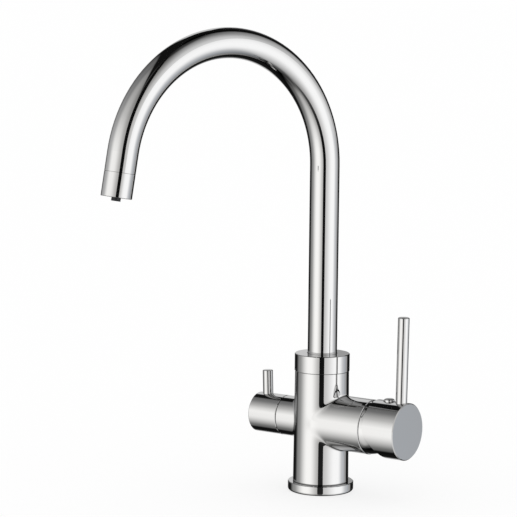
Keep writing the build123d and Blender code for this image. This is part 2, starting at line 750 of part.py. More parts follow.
with BuildPart() as mixer_swivel:
    rod(mixer_side, swivel_start, swivel_shoulder, shell_bore - free_gap)
    rod(mixer_side, swivel_shoulder, neck_end, swivel_neck_radius)
    with BuildSketch(across(mixer_side, rail_start)):
        with GridLocations(0, 2 * (carrier_half_width + free_gap) + rail_thickness, 1, 2):
            Rectangle(2 * rail_half_length, rail_thickness)
    extrude(amount=swivel_start - rail_start)
    with BuildSketch(mixer_side):
        with BuildLine():
            Polyline(
                (swivel_start, -stem_neck_radius - free_gap),
                (pivot_place - stem_shoulder, -stem_half - free_gap),
                (pivot_place, -slot_half),
                (neck_end, -slot_half - swivel_neck_reach * tan(lift)),
                (neck_end, stem_half + free_gap),
                (pivot_place, slot_half),
                (pivot_place - stem_shoulder, slot_half + stem_shoulder * tan(lift)),
                (
                    swivel_start,
                    ball_radius / cos(lift) + free_gap + (pivot_place - swivel_start) * tan(lift),
                ),
                close=True,
            )
        make_face()
    extrude(amount=stem_half + free_gap, both=True, mode=Mode.SUBTRACT)
    with BuildSketch(mixer_side):
        with Locations((pivot_place, 0)):
            Circle(pivot_pin_radius + seat_gap)
    extrude(amount=swivel_neck_radius, both=True, mode=Mode.SUBTRACT)
mixer_swivel.part.label = "mixer_swivel"
export_step(mixer_swivel.part, "parts/mixer_swivel.step")

with BuildPart() as mixer_pivot_pin:
    with BuildSketch(mixer_side):
        with Locations((pivot_place, 0)):
            Circle(pivot_pin_radius)
    extrude(amount=pivot_pin_length / 2, both=True)
mixer_pivot_pin.part.label = "mixer_pivot_pin"
export_step(mixer_pivot_pin.part, "parts/mixer_pivot_pin.step")

# =========================================================================================
# Mixer lever
# =========================================================================================

stem_end = pivot_place + stem_reach
with BuildPart() as mixer_stem:
    with BuildSketch(across(mixer_side, pivot_place - stem_shoulder)):
        Rectangle(stem_width, stem_width)
    extrude(amount=stem_shoulder + stem_reach)
    rod(mixer_side, ball_place, pivot_place - stem_shoulder, stem_neck_radius)
    with Locations((ball_place, 0, arm_height)):
        Sphere(ball_radius)
    with BuildSketch(mixer_side):
        with Locations((pivot_place, 0)):
            Circle(pivot_pin_radius + running_gap)
    extrude(amount=stem_half, both=True, mode=Mode.SUBTRACT)
mixer_stem.part.label = "mixer_stem"
export_step(mixer_stem.part, "parts/mixer_stem.step")

cap_inner_radius = cap_radius - cap_wall
cap_inner_face = cap_face - cap_face_wall
cap_boss_start = pivot_place + cap_boss_gap
plug_seat = seat_on_round(cap_radius, plug_radius + plug_rim_gap)
mixer_pin_seat = seat_on_round(cap_radius, mixer_pin_radius)
plug_stem_radius = lever_screw_radius + seat_gap
lever_screw_foot = stem_half + 2 * seat_gap

with BuildPart() as mixer_cap:
    rod(mixer_side, mixer_arm_end, cap_face, cap_radius)
    chamfer(mixer_cap.edges().group_by(Axis.X)[-1], cap_face_bevel)
    drill(mixer_side, mixer_arm_end, cap_inner_face, cap_inner_radius)
    rod(mixer_side, cap_boss_start, cap_inner_face, cap_boss_radius)
    rod(lever_screw_side, 0, screw_pad_height, screw_pad_radius)
    rod(mixer_pin_side, mixer_pin_screw_foot - 1, cap_inner_radius, mixer_pin_pad_radius)
    # rim: square to the arm above, slanting away from it below
    with BuildSketch(mixer_side) as rim_cut:
        with BuildLine():
            reach = cap_radius + cap_wall
            Polyline(
                (mixer_arm_end - cap_wall, reach),
                (cap_rim, reach),
                (cap_rim, 0),
                (cap_rim + cap_rim_slant * reach, -reach),
                (mixer_arm_end - cap_wall, -reach),
                close=True,
            )
        make_face()
        fillet(rim_cut.vertices().sort_by_distance((cap_rim, 0, arm_height))[0], cap_rim_blend)
    extrude(amount=reach, both=True, mode=Mode.SUBTRACT)
    # square socket for the stem, screw and pin holes with their flats
    with BuildSketch(across(mixer_side, cap_boss_start)):
        Rectangle(stem_width + 2 * seat_gap, stem_width + 2 * seat_gap)
    extrude(amount=stem_end - cap_boss_start + seat_gap, mode=Mode.SUBTRACT)
    drill(lever_screw_side, 0, cap_radius, plug_stem_radius)
    drill(lever_screw_side, plug_seat, cap_radius, plug_radius + plug_rim_gap)
    drill(mixer_pin_side, mixer_pin_screw_foot, cap_radius, mixer_pin_screw_radius + seat_gap)
    drill(mixer_pin_side, mixer_pin_seat, cap_radius + cap_wall, mixer_pin_radius + seat_gap)
mixer_cap.part.label = "mixer_cap"
export_step(mixer_cap.part, "parts/mixer_cap.step")

with BuildPart() as mixer_pin:
    rod(mixer_pin_side, mixer_pin_seat, mixer_pin_top, mixer_pin_radius)
    chamfer(mixer_pin.edges().group_by(Axis.Z)[-1], mixer_pin_bevel)
    rod(mixer_pin_side, mixer_pin_screw_foot, mixer_pin_seat, mixer_pin_screw_radius)
mixer_pin.part.label = "mixer_pin"
export_step(mixer_pin.part, "parts/mixer_pin.step")

with BuildPart() as lever_grub_screw:
    rod(lever_screw_side, lever_screw_foot, lever_screw_foot + lever_screw_length, lever_screw_radius)
    with BuildSketch(across(lever_screw_side, lever_screw_foot + lever_screw_length)):
        RegularPolygon(lever_screw_hex, 6)
    extrude(amount=-lever_screw_socket, mode=Mode.SUBTRACT)
lever_grub_screw.part.label = "lever_grub_screw"
export_step(lever_grub_screw.part, "parts/lever_grub_screw.step")

with BuildPart() as lever_plug:
    rod(lever_screw_side, plug_seat, plug_seat + plug_height, plug_radius)
    fillet(lever_plug.edges().group_by(Axis.Z)[-1], plug_round)
    rod(lever_screw_side, plug_seat - plug_stem_length, plug_seat, plug_stem_radius - seat_gap)
lever_plug.part.label = "lever_plug"
export_step(lever_plug.part, "parts/lever_plug.step")

# =========================================================================================
# Filter headwork
# =========================================================================================

cage_start = valve_seat + seat_seal_reach
seal_end = valve_seat + seat_seal_thickness
filter_moving_start = seal_end + filter_disc_thickness + seat_gap
spindle_start = filter_moving_start + filter_disc_thickness + seat_gap
spindle_head_end = spindle_start + spindle_head_thickness
thread_start = filter_arm_end - headwork_thread_length
flange_end = filter_arm_end + headwork_flange_thickness
headwork_end = flange_end + headwork_neck_length
spindle_bore = spindle_radius + running_gap
window_start = filter_moving_start + seat_gap

with BuildPart() as filter_headwork:
    rod(filter_side, cage_start, thread_start, headwork_cage_radius)
    rod(filter_side, thread_start, filter_arm_end, headwork_thread_radius)
    with BuildSketch(across(filter_side, filter_arm_end)):
        RegularPolygon(headwork_flange_across_flats / 2, 6, major_radius=False)
    extrude(amount=headwork_flange_thickness)
    rod(filter_side, flange_end, headwork_end, headwork_neck_radius)
    drill(filter_side, cage_start, spindle_head_end + seat_gap, headwork_cage_bore)
    drill(filter_side, spindle_head_end, headwork_end, spindle_bore)
    with BuildSketch(filter_side):
        with Locations((window_start + headwork_window_length / 2, 0)):
            Rectangle(headwork_window_length, 2 * filter_chamber_radius)
    extrude(amount=headwork_window_width / 2, both=True, mode=Mode.SUBTRACT)
    gasket_outer = headwork_thread_radius + seat_gap
    rod(
        filter_side,
        filter_arm_end - headwork_gasket_thickness,
        filter_arm_end,
        gasket_outer,
        headwork_thread_radius - headwork_gasket_width,
        Mode.SUBTRACT,
    )
filter_headwork.part.label = "filter_headwork"
export_step(filter_headwork.part, "parts/filter_headwork.step")

with BuildPart() as headwork_gasket:
    rod(
        filter_side,
        filter_arm_end - headwork_gasket_thickness + seat_gap,
        filter_arm_end - seat_gap,
        headwork_thread_radius,
        headwork_thread_radius - headwork_gasket_width + seat_gap,
    )
headwork_gasket.part.label = "headwork_gasket"
export_step(headwork_gasket.part, "parts/headwork_gasket.step")

with BuildPart() as filter_seat_seal:
    rod(filter_side, valve_seat, seal_end, headwork_cage_bore - 2 * seat_gap, filter_port_offset + filter_port_radius)
filter_seat_seal.part.label = "filter_seat_seal"
export_step(filter_seat_seal.part, "parts/filter_seat_seal.step")

with BuildPart() as filter_fixed_disc:
    rod(filter_side, seal_end, seal_end + filter_disc_thickness, headwork_cage_bore - 2 * seat_gap)
    with BuildSketch(across(filter_side, seal_end)):
        with Locations((filter_port_offset, 0), (-filter_port_offset, 0)):
            Circle(filter_port_radius)
    extrude(amount=filter_disc_thickness, mode=Mode.SUBTRACT)
filter_fixed_disc.part.label = "filter_fixed_disc"
export_step(filter_fixed_disc.part, "parts/filter_fixed_disc.step")

with BuildPart() as filter_moving_disc:
    rod(filter_side, filter_moving_start, filter_moving_start + filter_disc_thickness, filter_disc_radius)
    with BuildSketch(across(filter_side, filter_moving_start)):
        Rectangle(2 * filter_port_radius, 2 * filter_disc_radius)
    extrude(amount=filter_slot_depth, mode=Mode.SUBTRACT)
    with BuildSketch(across(filter_side, filter_moving_start + filter_disc_thickness)):
        Rectangle(2 * filter_disc_radius, spindle_tongue_width + 2 * seat_gap)
    extrude(amount=-spindle_tongue_height, mode=Mode.SUBTRACT)
filter_moving_disc.part.label = "filter_moving_disc"
export_step(filter_moving_disc.part, "parts/filter_moving_disc.step")

circlip_start = headwork_end + free_gap + seat_gap
spindle_end = knob_end - knob_boss_length + knob_spindle_depth

with BuildPart() as filter_spindle:
    rod(filter_side, spindle_start, spindle_head_end, spindle_head_radius)
    rod(filter_side, spindle_head_end, spindle_end, spindle_radius)
    with BuildSketch(across(filter_side, spindle_start)):
        Rectangle(2 * spindle_head_radius - spindle_tongue_width, spindle_tongue_width)
    extrude(amount=seat_gap - spindle_tongue_height)
    rod(
        filter_side,
        circlip_start - seat_gap,
        circlip_start + circlip_width + seat_gap,
        spindle_radius,
        spindle_radius - circlip_depth,
        Mode.SUBTRACT,
    )
filter_spindle.part.label = "filter_spindle"
export_step(filter_spindle.part, "parts/filter_spindle.step")

with BuildPart() as filter_circlip:
    rod(
        filter_side,
        circlip_start,
        circlip_start + circlip_width,
        circlip_radius,
        spindle_radius - circlip_depth + seat_gap,
    )
    with BuildSketch(across(filter_side, circlip_start)):
        with Locations((-circlip_radius, 0)):
            Rectangle(2 * circlip_radius, circlip_mouth)
    extrude(amount=circlip_width, mode=Mode.SUBTRACT)
filter_circlip.part.label = "filter_circlip"
export_step(filter_circlip.part, "parts/filter_circlip.step")

# =========================================================================================
# Filter knob
# =========================================================================================

knob_start = filter_arm_end + arm_seam_gap
knob_bore = filter_arm_radius - knob_wall
boss_start = knob_end - knob_boss_length
filter_pin_seat = seat_on_round(filter_arm_radius, filter_pin_radius)
knob_screw_foot = spindle_radius + seat_gap

with BuildPart() as filter_knob:
    rod(filter_side, knob_start, knob_end, filter_arm_radius)
    fillet(filter_knob.edges().group_by(Axis.X)[0], knob_end_round)
    chamfer(filter_knob.edges().group_by(Axis.X)[-1], arm_seam_bevel)
    drill(filter_side, knob_start, knob_end - knob_end_wall, knob_bore)
    rod(filter_side, boss_start, knob_end - knob_end_wall, knob_boss_radius)
    rod(filter_pin_side, 0, knob_bore, filter_pin_pad_radius)
    rod(knob_screw_side, 0, knob_bore, knob_screw_pad_radius)
    drill(filter_side, knob_start, spindle_end + seat_gap, spindle_radius + seat_gap)
    drill(filter_pin_side, filter_pin_screw_foot, filter_arm_radius, filter_pin_screw_radius + seat_gap)
    drill(filter_pin_side, filter_pin_seat, filter_arm_radius + knob_wall, filter_pin_radius + seat_gap)
    drill(knob_screw_side, 0, filter_arm_radius, knob_screw_radius + seat_gap)
filter_knob.part.label = "filter_knob"
export_step(filter_knob.part, "parts/filter_knob.step")

with BuildPart() as filter_pin:
    rod(filter_pin_side, filter_pin_seat, filter_pin_top, filter_pin_radius)
    chamfer(filter_pin.edges().group_by(Axis.Z)[-1], filter_pin_bevel)
    rod(filter_pin_side, filter_pin_screw_foot, filter_pin_seat, filter_pin_screw_radius)
filter_pin.part.label = "filter_pin"
export_step(filter_pin.part, "parts/filter_pin.step")

with BuildPart() as knob_grub_screw:
    rod(knob_screw_side, knob_screw_foot, knob_screw_foot + knob_screw_length, knob_screw_radius)
    with BuildSketch(across(knob_screw_side, knob_screw_foot + knob_screw_length)):
        RegularPolygon(knob_screw_hex, 6)
    extrude(amount=-knob_screw_socket, mode=Mode.SUBTRACT)
knob_grub_screw.part.label = "knob_grub_screw"
export_step(knob_grub_screw.part, "parts/knob_grub_screw.step")
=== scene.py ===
import bpy
import bmesh
from math import cos, exp, hypot, log, radians, sin
from mathutils import Matrix, Vector


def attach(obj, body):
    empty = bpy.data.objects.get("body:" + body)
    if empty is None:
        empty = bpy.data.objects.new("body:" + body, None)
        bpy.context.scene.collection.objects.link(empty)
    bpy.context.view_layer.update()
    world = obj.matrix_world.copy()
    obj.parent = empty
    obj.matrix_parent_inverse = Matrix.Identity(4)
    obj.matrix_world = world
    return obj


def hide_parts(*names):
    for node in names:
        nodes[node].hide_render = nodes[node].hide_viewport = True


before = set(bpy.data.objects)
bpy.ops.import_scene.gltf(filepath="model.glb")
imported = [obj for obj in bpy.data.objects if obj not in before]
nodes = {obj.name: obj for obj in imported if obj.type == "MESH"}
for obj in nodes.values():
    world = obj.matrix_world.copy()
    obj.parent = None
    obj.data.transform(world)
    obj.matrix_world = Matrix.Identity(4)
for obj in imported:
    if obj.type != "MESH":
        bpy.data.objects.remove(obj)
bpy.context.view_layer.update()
print("frame: loaded", len(nodes), "nodes")


def hexColour(code):  # sRGB hex to the linear colour that a shader reads
    parts = [int(code[i:i + 2], 16) / 255 for i in (0, 2, 4)]
    linear = [p / 12.92 if p <= 0.04045 else ((p + 0.055) / 1.055) ** 2.4 for p in parts]
    return (*linear, 1.0)


def grey(share):  # linear grey, 0 for black and 1 for white
    return (share, share, share, 1.0)


def addNode(tree, kind, settings=None, inputs=None):  # one node with its settings and links
    node = tree.nodes.new(kind)
    for name, value in (settings or {}).items():
        setattr(node, name, value)
    for name, value in (inputs or {}).items():
        if isinstance(value, bpy.types.NodeSocket):
            tree.links.new(value, node.inputs[name])
        else:
            node.inputs[name].default_value = value
    return node


def setStops(ramp, stops):  # fills a colour ramp from (position, colour) pairs
    elements = ramp.color_ramp.elements
    while len(elements) > 1:
        elements.remove(elements[-1])
    elements[0].position, elements[0].color = stops[0]
    for position, colour in stops[1:]:
        elements.new(position).color = colour


def perMetre(millimetres):  # pattern scale for one feature of this size
    return 1000 / millimetres


def newMaterial(name):
    material = bpy.data.materials.new(name)
    material.use_nodes = True
    material.node_tree.nodes.clear()
    return material, material.node_tree


# Studio: a white tent with a long soft light on each side of the photographer, two low lights
# behind the tap and a dark ceiling. Black flags at the sides give the chrome its dark edges. Metal
# sees the tent, dimmer in a reflection of a reflection. The camera and plain surfaces see even
# white. Angles are degrees to the right of the photographer's side, and degrees above the horizon.
studio = {
    "photographerSide": -56.0,
    "plainLevel": 1.0,
    "firstDepth": 2.0,      # ray depth of light that one reflection brings
    "laterShare": 0.6,      # what each further reflection leaves of it, as on real chrome
    "upperHalf": (-2, 2),   # heights over which the low tent turns into the high one
    "leftHalf": (20, -20),  # sides over which the right shares turn into the left ones
    "lowTent": [
        (-180, "202020"), (-132, "161616"), (-108, "8E8E8D"), (-58, "FFFEFC"), (-48, "FFFEFC"),
        (-6, "AFAEAC"), (5, "C6C5C4"), (60, "FFFFFF"), (75, "FFFFFF"), (103, "BDBFC2"),
        (111, "A7ACB2"), (119, "A3A3A4"), (126, "989898"), (132, "161616"), (180, "202020"),
    ],
    "highTent": [
        (-180, "1E1E1E"), (-163, "505050"), (-110, "AEAEAE"), (-66, "F8F7F5"), (-50, "F7F6F4"),
        (0, "AFAEAC"), (20, "C0BFBD"), (62, "FFFFFF"), (75, "FDFDFD"), (112, "C8C8C8"),
        (129, "A9A9A9"), (136, "161616"), (180, "202020"),
    ],
    "leftShares": [
        (-90, 0.03), (-75, 0.12), (-65, 0.42), (-45, 0.65), (-35, 0.78), (-25, 0.92),
        (-16, 1.0), (10, 1.0), (25, 0.76), (35, 0.57), (45, 0.47), (55, 0.38), (65, 0.26),
        (73, 0.06), (90, 0.007),
    ],
    "rightShares": [
        (-90, 0.03), (-75, 0.12), (-65, 0.42), (-45, 0.70), (-35, 0.84), (-25, 0.97),
        (-16, 1.0), (10, 1.0), (25, 0.82), (35, 0.66), (45, 0.50), (55, 0.37), (65, 0.24),
        (73, 0.06), (90, 0.007),
    ],
    "ceiling": {"side": -75.0, "rise": 2.6, "softness": (-0.05, 0.10), "share": 0.006},
    "rearLights": [  # each comes up from the first angle of a pair to the second
        {"side": (-160, -168), "foot": (-42, -22), "top": (43, 38), "share": 0.58},
        {"side": (160, 178), "foot": (-42, -22), "top": (40, 8), "share": 0.33},
    ],
}


def makeStudio(settings):
    world = bpy.data.worlds.new("photographersTent")
    bpy.context.scene.world = world
    world.use_nodes = True
    tree = world.node_tree
    tree.nodes.clear()

    look = addNode(tree, "ShaderNodeTexCoord")
    turned = addNode(tree, "ShaderNodeVectorRotate", {"rotation_type": "Z_AXIS"}, {
        "Vector": look.outputs["Generated"], "Angle": radians(-settings["photographerSide"])})
    along = addNode(tree, "ShaderNodeSeparateXYZ", inputs={0: turned.outputs[0]})
    side = addNode(tree, "ShaderNodeMath", {"operation": "ARCTAN2"}, {
        0: along.outputs["Y"], 1: along.outputs["X"]}).outputs[0]
    height = addNode(tree, "ShaderNodeMath", {"operation": "ARCSINE"}, {
        0: along.outputs["Z"]}).outputs[0]

    tones = {}  # the tent's colours round the tap, and what each height leaves of them
    for name, angle, reach, easing, colourOf in (
            ("lowTent", side, 180, "EASE", hexColour),
            ("highTent", side, 180, "EASE", hexColour),
            ("leftShares", height, 90, "LINEAR", grey),
            ("rightShares", height, 90, "LINEAR", grey)):
        place = addNode(tree, "ShaderNodeMapRange", inputs={
            "Value": angle, "From Min": radians(-reach), "From Max": radians(reach)})
        ramp = addNode(tree, "ShaderNodeValToRGB", inputs={0: place.outputs[0]})
        ramp.color_ramp.interpolation = easing
        setStops(ramp, [((at + reach) / (2 * reach), colourOf(tone)) for at, tone in settings[name]])
        tones[name] = ramp.outputs[0]

    halves = {}
    for name, angle in (("upperHalf", height), ("leftHalf", side)):
        start, full = settings[name]
        half = addNode(tree, "ShaderNodeMapRange", {"interpolation_type": "SMOOTHSTEP"}, {
            "Value": angle, "From Min": radians(start), "From Max": radians(full)})
        halves[name] = half.outputs[0]

    tent = addNode(tree, "ShaderNodeMix", {"data_type": "RGBA"}, {
        "Factor": halves["upperHalf"], 6: tones["lowTent"], 7: tones["highTent"]})
    shares = addNode(tree, "ShaderNodeMix", {"data_type": "RGBA"}, {
        "Factor": halves["leftHalf"], 6: tones["rightShares"], 7: tones["leftShares"]})
    tent = addNode(tree, "ShaderNodeMix", {"data_type": "RGBA", "blend_type": "MULTIPLY"}, {
        "Factor": 1.0, 6: tent.outputs[2], 7: shares.outputs[2]})

    ceiling = settings["ceiling"]
    ceilingSide = radians(ceiling["side"])
    slope = (-ceiling["rise"] * cos(ceilingSide), -ceiling["rise"] * sin(ceilingSide), 1)
    start, full = ceiling["softness"]
    above = addNode(tree, "ShaderNodeVectorMath", {"operation": "DOT_PRODUCT"}, {
        0: turned.outputs[0], 1: slope})
    dark = addNode(tree, "ShaderNodeMapRange", {"interpolation_type": "SMOOTHSTEP"}, {
        "Value": above.outputs["Value"], "From Min": start, "From Max": full,
        "To Max": halves["leftHalf"]})
    tent = addNode(tree, "ShaderNodeMix", {"data_type": "RGBA"}, {
        "Factor": dark.outputs[0], 6: tent.outputs[2], 7: grey(ceiling["share"])})

    for light in settings["rearLights"]:
        glow = light["share"]
        for name, angle in (("side", side), ("foot", height), ("top", height)):
            start, full = light[name]
            edge = addNode(tree, "ShaderNodeMapRange", {"interpolation_type": "SMOOTHSTEP"}, {
                "Value": angle, "From Min": radians(start), "From Max": radians(full),
                "To Max": glow})
            glow = edge.outputs[0]
        tent = addNode(tree, "ShaderNodeMix", {"data_type": "RGBA", "blend_type": "LIGHTEN"}, {
            "Factor": 1.0, 6: tent.outputs[2], 7: glow})

    ray = addNode(tree, "ShaderNodeLightPath")
    later = addNode(tree, "ShaderNodeMath", {"operation": "SUBTRACT"}, {
        0: ray.outputs["Ray Depth"], 1: settings["firstDepth"]})
    level = addNode(tree, "ShaderNodeMath", {"operation": "POWER"}, {
        0: settings["laterShare"], 1: later.outputs[0]})
    metalView = addNode(tree, "ShaderNodeBackground", inputs={
        "Color": tent.outputs[2], "Strength": level.outputs[0]})
    plainView = addNode(tree, "ShaderNodeBackground", inputs={
        "Color": grey(1.0), "Strength": settings["plainLevel"]})
    both = addNode(tree, "ShaderNodeMixShader", inputs={
        0: ray.outputs["Is Glossy Ray"], 1: plainView.outputs[0], 2: metalView.outputs[0]})
    addNode(tree, "ShaderNodeOutputWorld", inputs={"Surface": both.outputs[0]})


makeStudio(studio)
bpy.context.scene.view_settings.view_transform = "Standard"
print("studio: tent ready")

# Camera at the photograph's place, worked out from the tap's outlines
cameraSettings = {
    "place": (1.0703, -1.5873, 0.4279),
    "turn": 35.636,
    "pitch": 6.841,
    "roll": 0.587,
    "lens": 158.87,
    "sensor": 36.0,
    "clip": (0.05, 200.0),
}


def makeCamera(settings):
    data = bpy.data.cameras.new("photoCamera")
    data.lens = settings["lens"]
    data.sensor_width = settings["sensor"]
    data.clip_start, data.clip_end = settings["clip"]
    camera = bpy.data.objects.new("photoCamera", data)
    bpy.context.scene.collection.objects.link(camera)
    camera.matrix_world = (
        Matrix.Translation(settings["place"])
        @ Matrix.Rotation(radians(settings["turn"]), 4, "Z")
        @ Matrix.Rotation(radians(90 - settings["pitch"]), 4, "X")
        @ Matrix.Rotation(radians(settings["roll"]), 4, "Z")
    )
    bpy.context.scene.camera = camera


makeCamera(cameraSettings)

# Floor: matt white board, lit up to the photograph's white, that keeps a faint shadow of the tap
floorSettings = {
    "radius": 60.0, "segments": 96,
    "colour": "FDFDFD", "grainMm": 3.0, "smooth": 0.85, "rough": 0.9,
    "litShare": 0.75,
}


def makeFloor(settings):
    mesh = bpy.data.meshes.new("floor")
    sheet = bmesh.new()
    bmesh.ops.create_circle(
        sheet, cap_ends=True, segments=settings["segments"], radius=settings["radius"])
    sheet.to_mesh(mesh)
    sheet.free()
    floor = bpy.data.objects.new("floor", mesh)
    bpy.context.scene.collection.objects.link(floor)
    material, tree = newMaterial("mattWhiteBoard")
    place = addNode(tree, "ShaderNodeTexCoord")
    grain = addNode(tree, "ShaderNodeTexNoise", inputs={
        "Vector": place.outputs["Object"], "Scale": perMetre(settings["grainMm"]), "Detail": 2.0})
    gloss = addNode(tree, "ShaderNodeMapRange", inputs={
        "Value": grain.outputs[0], "To Min": settings["smooth"], "To Max": settings["rough"]})
    board = addNode(tree, "ShaderNodeBsdfPrincipled", inputs={
        "Base Color": hexColour(settings["colour"]), "Roughness": gloss.outputs[0],
        "Specular IOR Level": 0.0})
    lit = addNode(tree, "ShaderNodeEmission", inputs={"Color": grey(1.0), "Strength": 1.0})
    ray = addNode(tree, "ShaderNodeLightPath")
    share = addNode(tree, "ShaderNodeMath", {"operation": "MULTIPLY"}, {
        0: ray.outputs["Is Camera Ray"], 1: settings["litShare"]})
    both = addNode(tree, "ShaderNodeMixShader", inputs={
        0: share.outputs[0], 1: board.outputs[0], 2: lit.outputs[0]})
    addNode(tree, "ShaderNodeOutputMaterial", inputs={"Surface": both.outputs[0]})
    mesh.materials.append(material)
    floor.visible_glossy = False


makeFloor(floorSettings)

# Black card between the two soft lights. Chrome shows it as the dark line down its middle; the
# camera and the plain surfaces don't see it.
cardSettings = {
    "distance": 0.88,
    "middle": -0.014,  # metres to the right of the line to the photographer
    "width": 0.313,
    "foot": -2.0,
    "top": 4.0,
    "tones": [(-2.0, 0.10), (-1.0, 0.07), (0.0, 0.004)],  # height, and how grey the card is there
}


def makeCard(settings):
    foot, top = settings["foot"], settings["top"]
    mesh = bpy.data.meshes.new("blackCard")
    sheet = bmesh.new()
    bmesh.ops.create_grid(sheet, x_segments=1, y_segments=1, size=0.5)
    stand = (
        Matrix.Rotation(radians(studio["photographerSide"]), 4, "Z")
        @ Matrix.Translation((settings["distance"], settings["middle"], (foot + top) / 2))
        @ Matrix.Rotation(radians(-90), 4, "Y")
        @ Matrix.Diagonal((top - foot, settings["width"], 1, 1))
    )
    bmesh.ops.transform(sheet, matrix=stand, verts=sheet.verts)
    sheet.to_mesh(mesh)
    sheet.free()
    card = bpy.data.objects.new("blackCard", mesh)
    bpy.context.scene.collection.objects.link(card)
    material, tree = newMaterial("mattBlackCard")
    place = addNode(tree, "ShaderNodeTexCoord")
    along = addNode(tree, "ShaderNodeSeparateXYZ", inputs={0: place.outputs["Object"]})
    level = addNode(tree, "ShaderNodeMapRange", inputs={
        "Value": along.outputs["Z"], "From Min": foot, "From Max": top})
    tone = addNode(tree, "ShaderNodeValToRGB", inputs={0: level.outputs[0]})
    setStops(tone, [((at - foot) / (top - foot), grey(share)) for at, share in settings["tones"]])
    lit = addNode(tree, "ShaderNodeEmission", inputs={"Color": tone.outputs[0], "Strength": 1.0})
    addNode(tree, "ShaderNodeOutputMaterial", inputs={"Surface": lit.outputs[0]})
    mesh.materials.append(material)
    for use in ("visible_camera", "visible_diffuse", "visible_transmission", "visible_shadow"):
        setattr(card, use, False)


makeCard(cardSettings)
print("stage: camera, floor and card ready")


def dress(names, material):
    for name in names:
        for materialSlot in nodes[name].material_slots:
            materialSlot.material = material


# Chrome plate over polished brass: a neutral mirror with a breath of polishing haze and a very
# slow wave where the buffing wheel passed
chromeSettings = {
    "colour": "F6F6F6",
    "hazeMm": 5.0, "hazeSpan": (0.35, 0.75), "smooth": 0.022, "rough": 0.034,
    "waveMm": 22.0, "waveHeightMm": 0.004,
}


def makeChrome(name, settings):
    material, tree = newMaterial(name)
    place = addNode(tree, "ShaderNodeTexCoord")
    haze = addNode(tree, "ShaderNodeTexNoise", inputs={
        "Vector": place.outputs["Object"], "Scale": perMetre(settings["hazeMm"]), "Detail": 3.0})
    gloss = addNode(tree, "ShaderNodeMapRange", inputs={
        "Value": haze.outputs[0],
        "From Min": settings["hazeSpan"][0], "From Max": settings["hazeSpan"][1],
        "To Min": settings["smooth"], "To Max": settings["rough"]})
    wave = addNode(tree, "ShaderNodeTexNoise", inputs={
        "Vector": place.outputs["Object"], "Scale": perMetre(settings["waveMm"]), "Detail": 0.0})
    bump = addNode(tree, "ShaderNodeBump", inputs={
        "Height": wave.outputs[0], "Strength": 1.0, "Distance": settings["waveHeightMm"] / 1000})
    shader = addNode(tree, "ShaderNodeBsdfPrincipled", inputs={
        "Base Color": hexColour(settings["colour"]), "Metallic": 1.0,
        "Roughness": gloss.outputs[0], "Normal": bump.outputs[0]})
    addNode(tree, "ShaderNodeOutputMaterial", inputs={"Surface": shader.outputs[0]})
    return material


chromeNodes = [
    "tap_body", "base_ring", "spout_collar", "spout_tube", "outlet_sleeve", "mixer_trim_dome",
    "mixer_cap", "mixer_pin", "lever_plug", "filter_knob", "filter_pin",
]
dress(chromeNodes, makeChrome("polishedChromePlate", chromeSettings))
print("finish: chrome on", len(chromeNodes), "nodes")

# Body casting as it is polished: the mixer arm flows into the trunk, narrow above and below and
# wide at the sides, where the two rounds nearly touch. Everything else is the body's own mesh.
castingSettings = {
    "trunkMm": (23.7, 23.0),  # radius at the foot and at the top
    "trunkHeightMm": (8.3, 103.4),
    "armMm": 23.1,
    "armHeightMm": 60.5,
    "armRootMm": 6.0,         # the arm's round fades out from here towards the trunk's back
    "rootFall": 0.05,
    "blendMm": 0.7,
    "leastMm": 1e-6,          # nearer to an axis than this, a point counts as this far off
    "skinMm": (-0.12, 0.8),   # a corner this far outside the two rounds is on the skin
    "regionMm": ((-12.0, 38.0), (-26.0, 26.0), (33.0, 88.0)),
    "stepMm": 1.5,
    "mergeMm": 1e-4,
    "passes": 4,              # moves that bring a corner on to the blend
}


def castingSkin(x, y, z, settings):  # how far a point lies outside the casting, and the way out
    footRadius, topRadius = settings["trunkMm"]
    foot, top = settings["trunkHeightMm"]
    taper = (footRadius - topRadius) / (top - foot)
    rise = z - settings["armHeightMm"]
    trunkReach = max(hypot(x, y), settings["leastMm"])
    armReach = max(hypot(y, rise), settings["leastMm"])
    root = max(0.0, settings["armRootMm"] - x)
    overTrunk = trunkReach - footRadius + taper * (z - foot)
    overArm = armReach - settings["armMm"] + settings["rootFall"] * root ** 2
    nearest = min(overTrunk, overArm)
    trunkShare = exp((nearest - overTrunk) / settings["blendMm"])
    armShare = exp((nearest - overArm) / settings["blendMm"])
    whole = trunkShare + armShare
    distance = nearest - settings["blendMm"] * log(whole)
    trunkOut = Vector((x / trunkReach, y / trunkReach, taper))
    armOut = Vector((-2 * settings["rootFall"] * root, y / armReach, rise / armReach))
    return distance, nearest, (trunkOut * trunkShare + armOut * armShare) / whole


